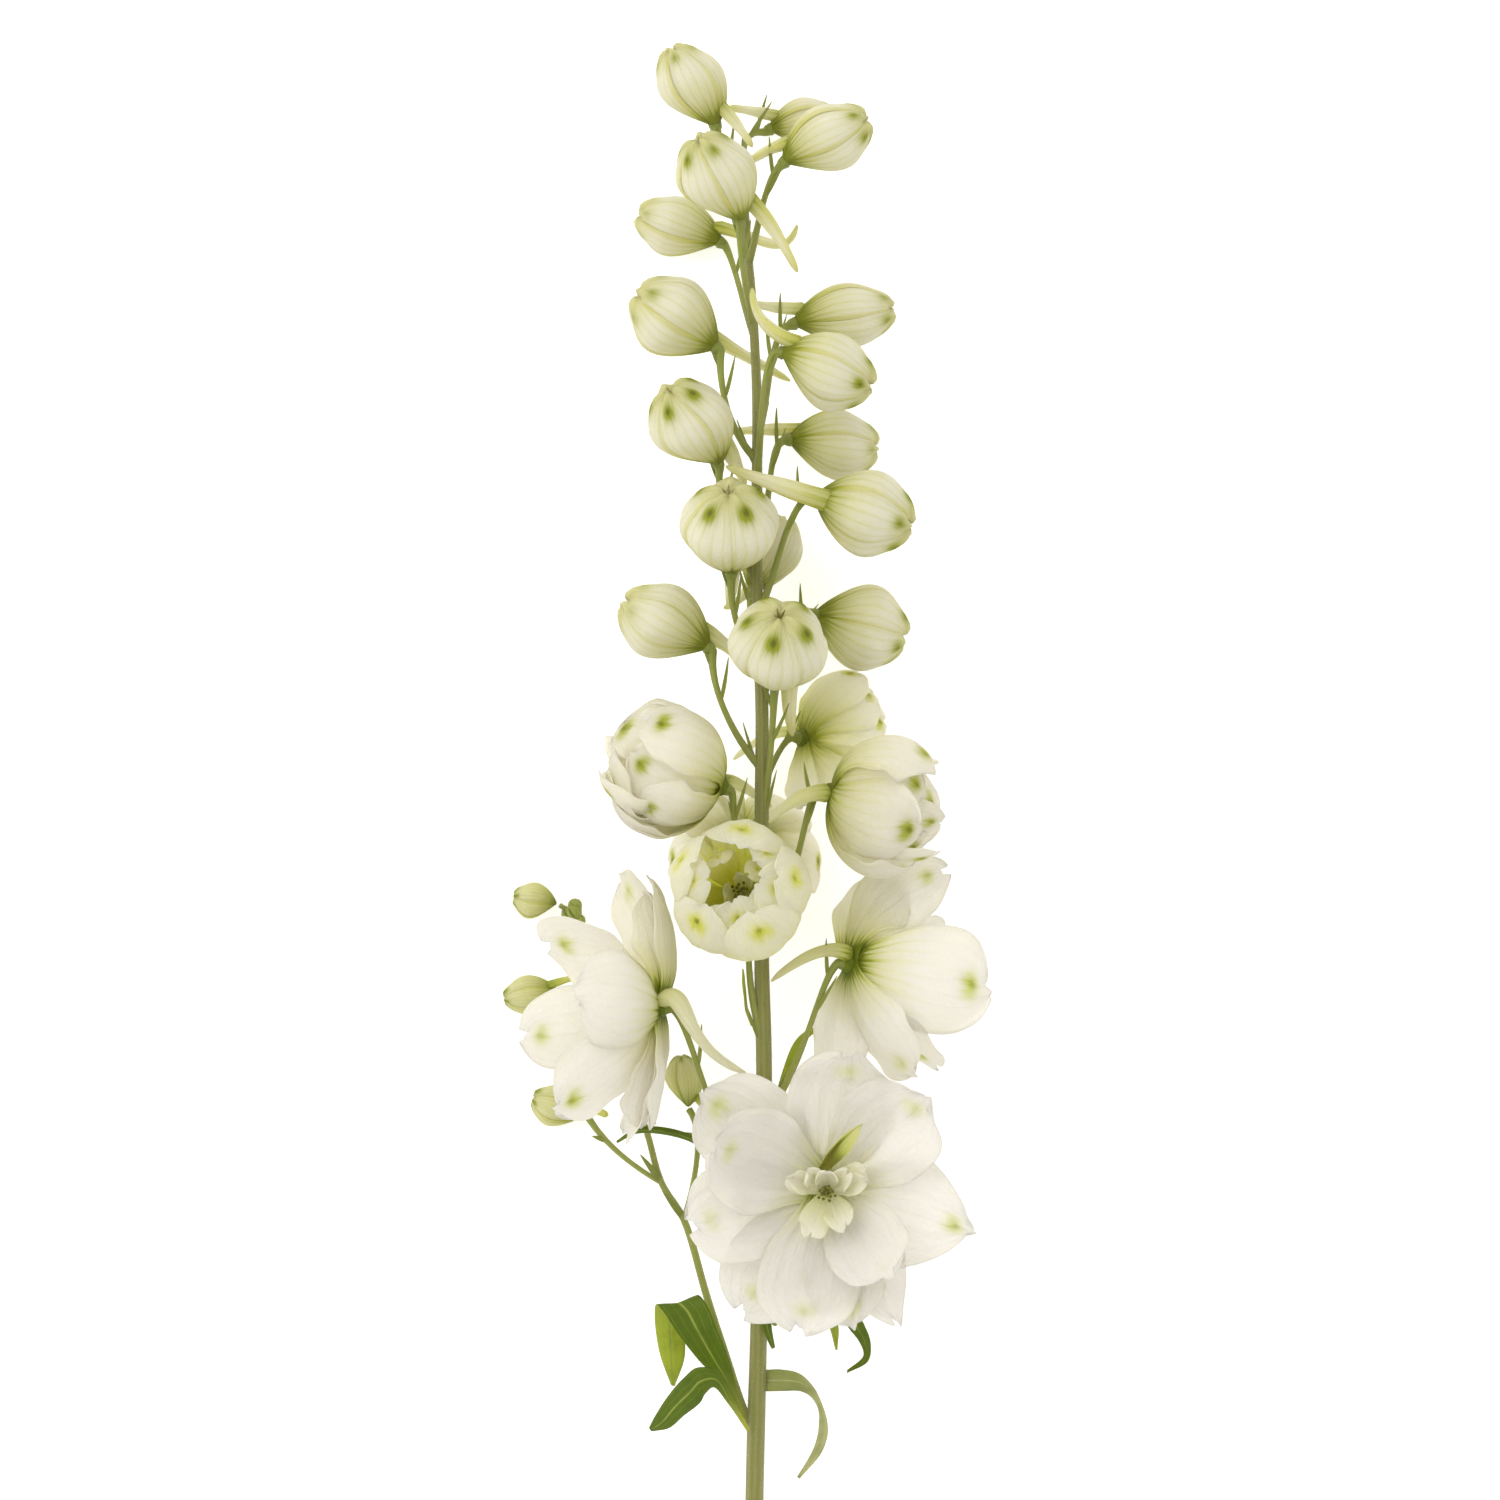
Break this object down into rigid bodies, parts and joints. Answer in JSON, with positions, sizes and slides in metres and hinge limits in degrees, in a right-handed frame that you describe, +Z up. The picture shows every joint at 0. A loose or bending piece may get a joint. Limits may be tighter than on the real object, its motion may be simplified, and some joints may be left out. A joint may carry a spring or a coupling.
{
  "type": "delphinium flower spike",
  "caption": "Cut delphinium spike lying on its back: white semi-double blooms low down, spurred closed buds above, a budded side shoot and pointed leaves at the foot of the stem.",
  "frame": {"origin": "on the table, under the middle of the spike's outline seen from above", "axes": "+Y runs up the spike from the cut end to the top bud, +Z is up from the table, and the lowest bloom faces +Z"},
  "size_m": [0.1023, 0.3456, 0.0579],
  "materials": {
    "stem": "matt, finely ribbed and hairy plant stem",
    "leaf": "satin leaf with a pale midrib and veins",
    "pale_leaf": "satin young leaf",
    "bud": "soft, matt and slightly see-through, with a green blotch near each tip",
    "sepal": "soft, matt and slightly see-through, finely veined",
    "inner_petal": "soft, matt and crinkled",
    "side_bud": "soft and matt"
  },
  "bodies": {
    "root": {"flowering_stem": "stem", "leaf_1": "leaf", "leaf_2": "leaf", "leaf_3": "leaf", "leaf_4": "leaf", "leaf_5": "pale_leaf", "bract_1": "leaf", "bract_2": "leaf", "bract_3": "leaf", "bract_4": "pale_leaf", "bud_01": "bud", "bud_02": "bud", "bud_03": "bud", "bud_04": "bud", "bud_05": "bud", "bud_06": "bud", "bud_07": "bud", "bud_08": "bud", "bud_09": "bud", "bud_10": "bud", "bud_11": "bud", "bud_12": "bud", "bud_13": "bud", "bud_14": "bud", "bud_15": "bud", "bud_16": "bud", "bloom_1": "sepal", "bee_1": "inner_petal", "bloom_2": "sepal", "bee_2": "inner_petal", "bloom_3": "sepal", "bee_3": "inner_petal", "bloom_4": "sepal", "bee_4": "inner_petal", "bloom_5": "sepal", "bee_5": "inner_petal", "bloom_6": "sepal", "bee_6": "inner_petal", "bloom_7": "sepal", "bee_7": "inner_petal", "bloom_8": "sepal", "bee_8": "inner_petal", "side_bud_1": "side_bud", "side_bud_2": "side_bud", "side_bud_3": "side_bud", "side_bud_4": "side_bud"}
  },
  "joints": []
}
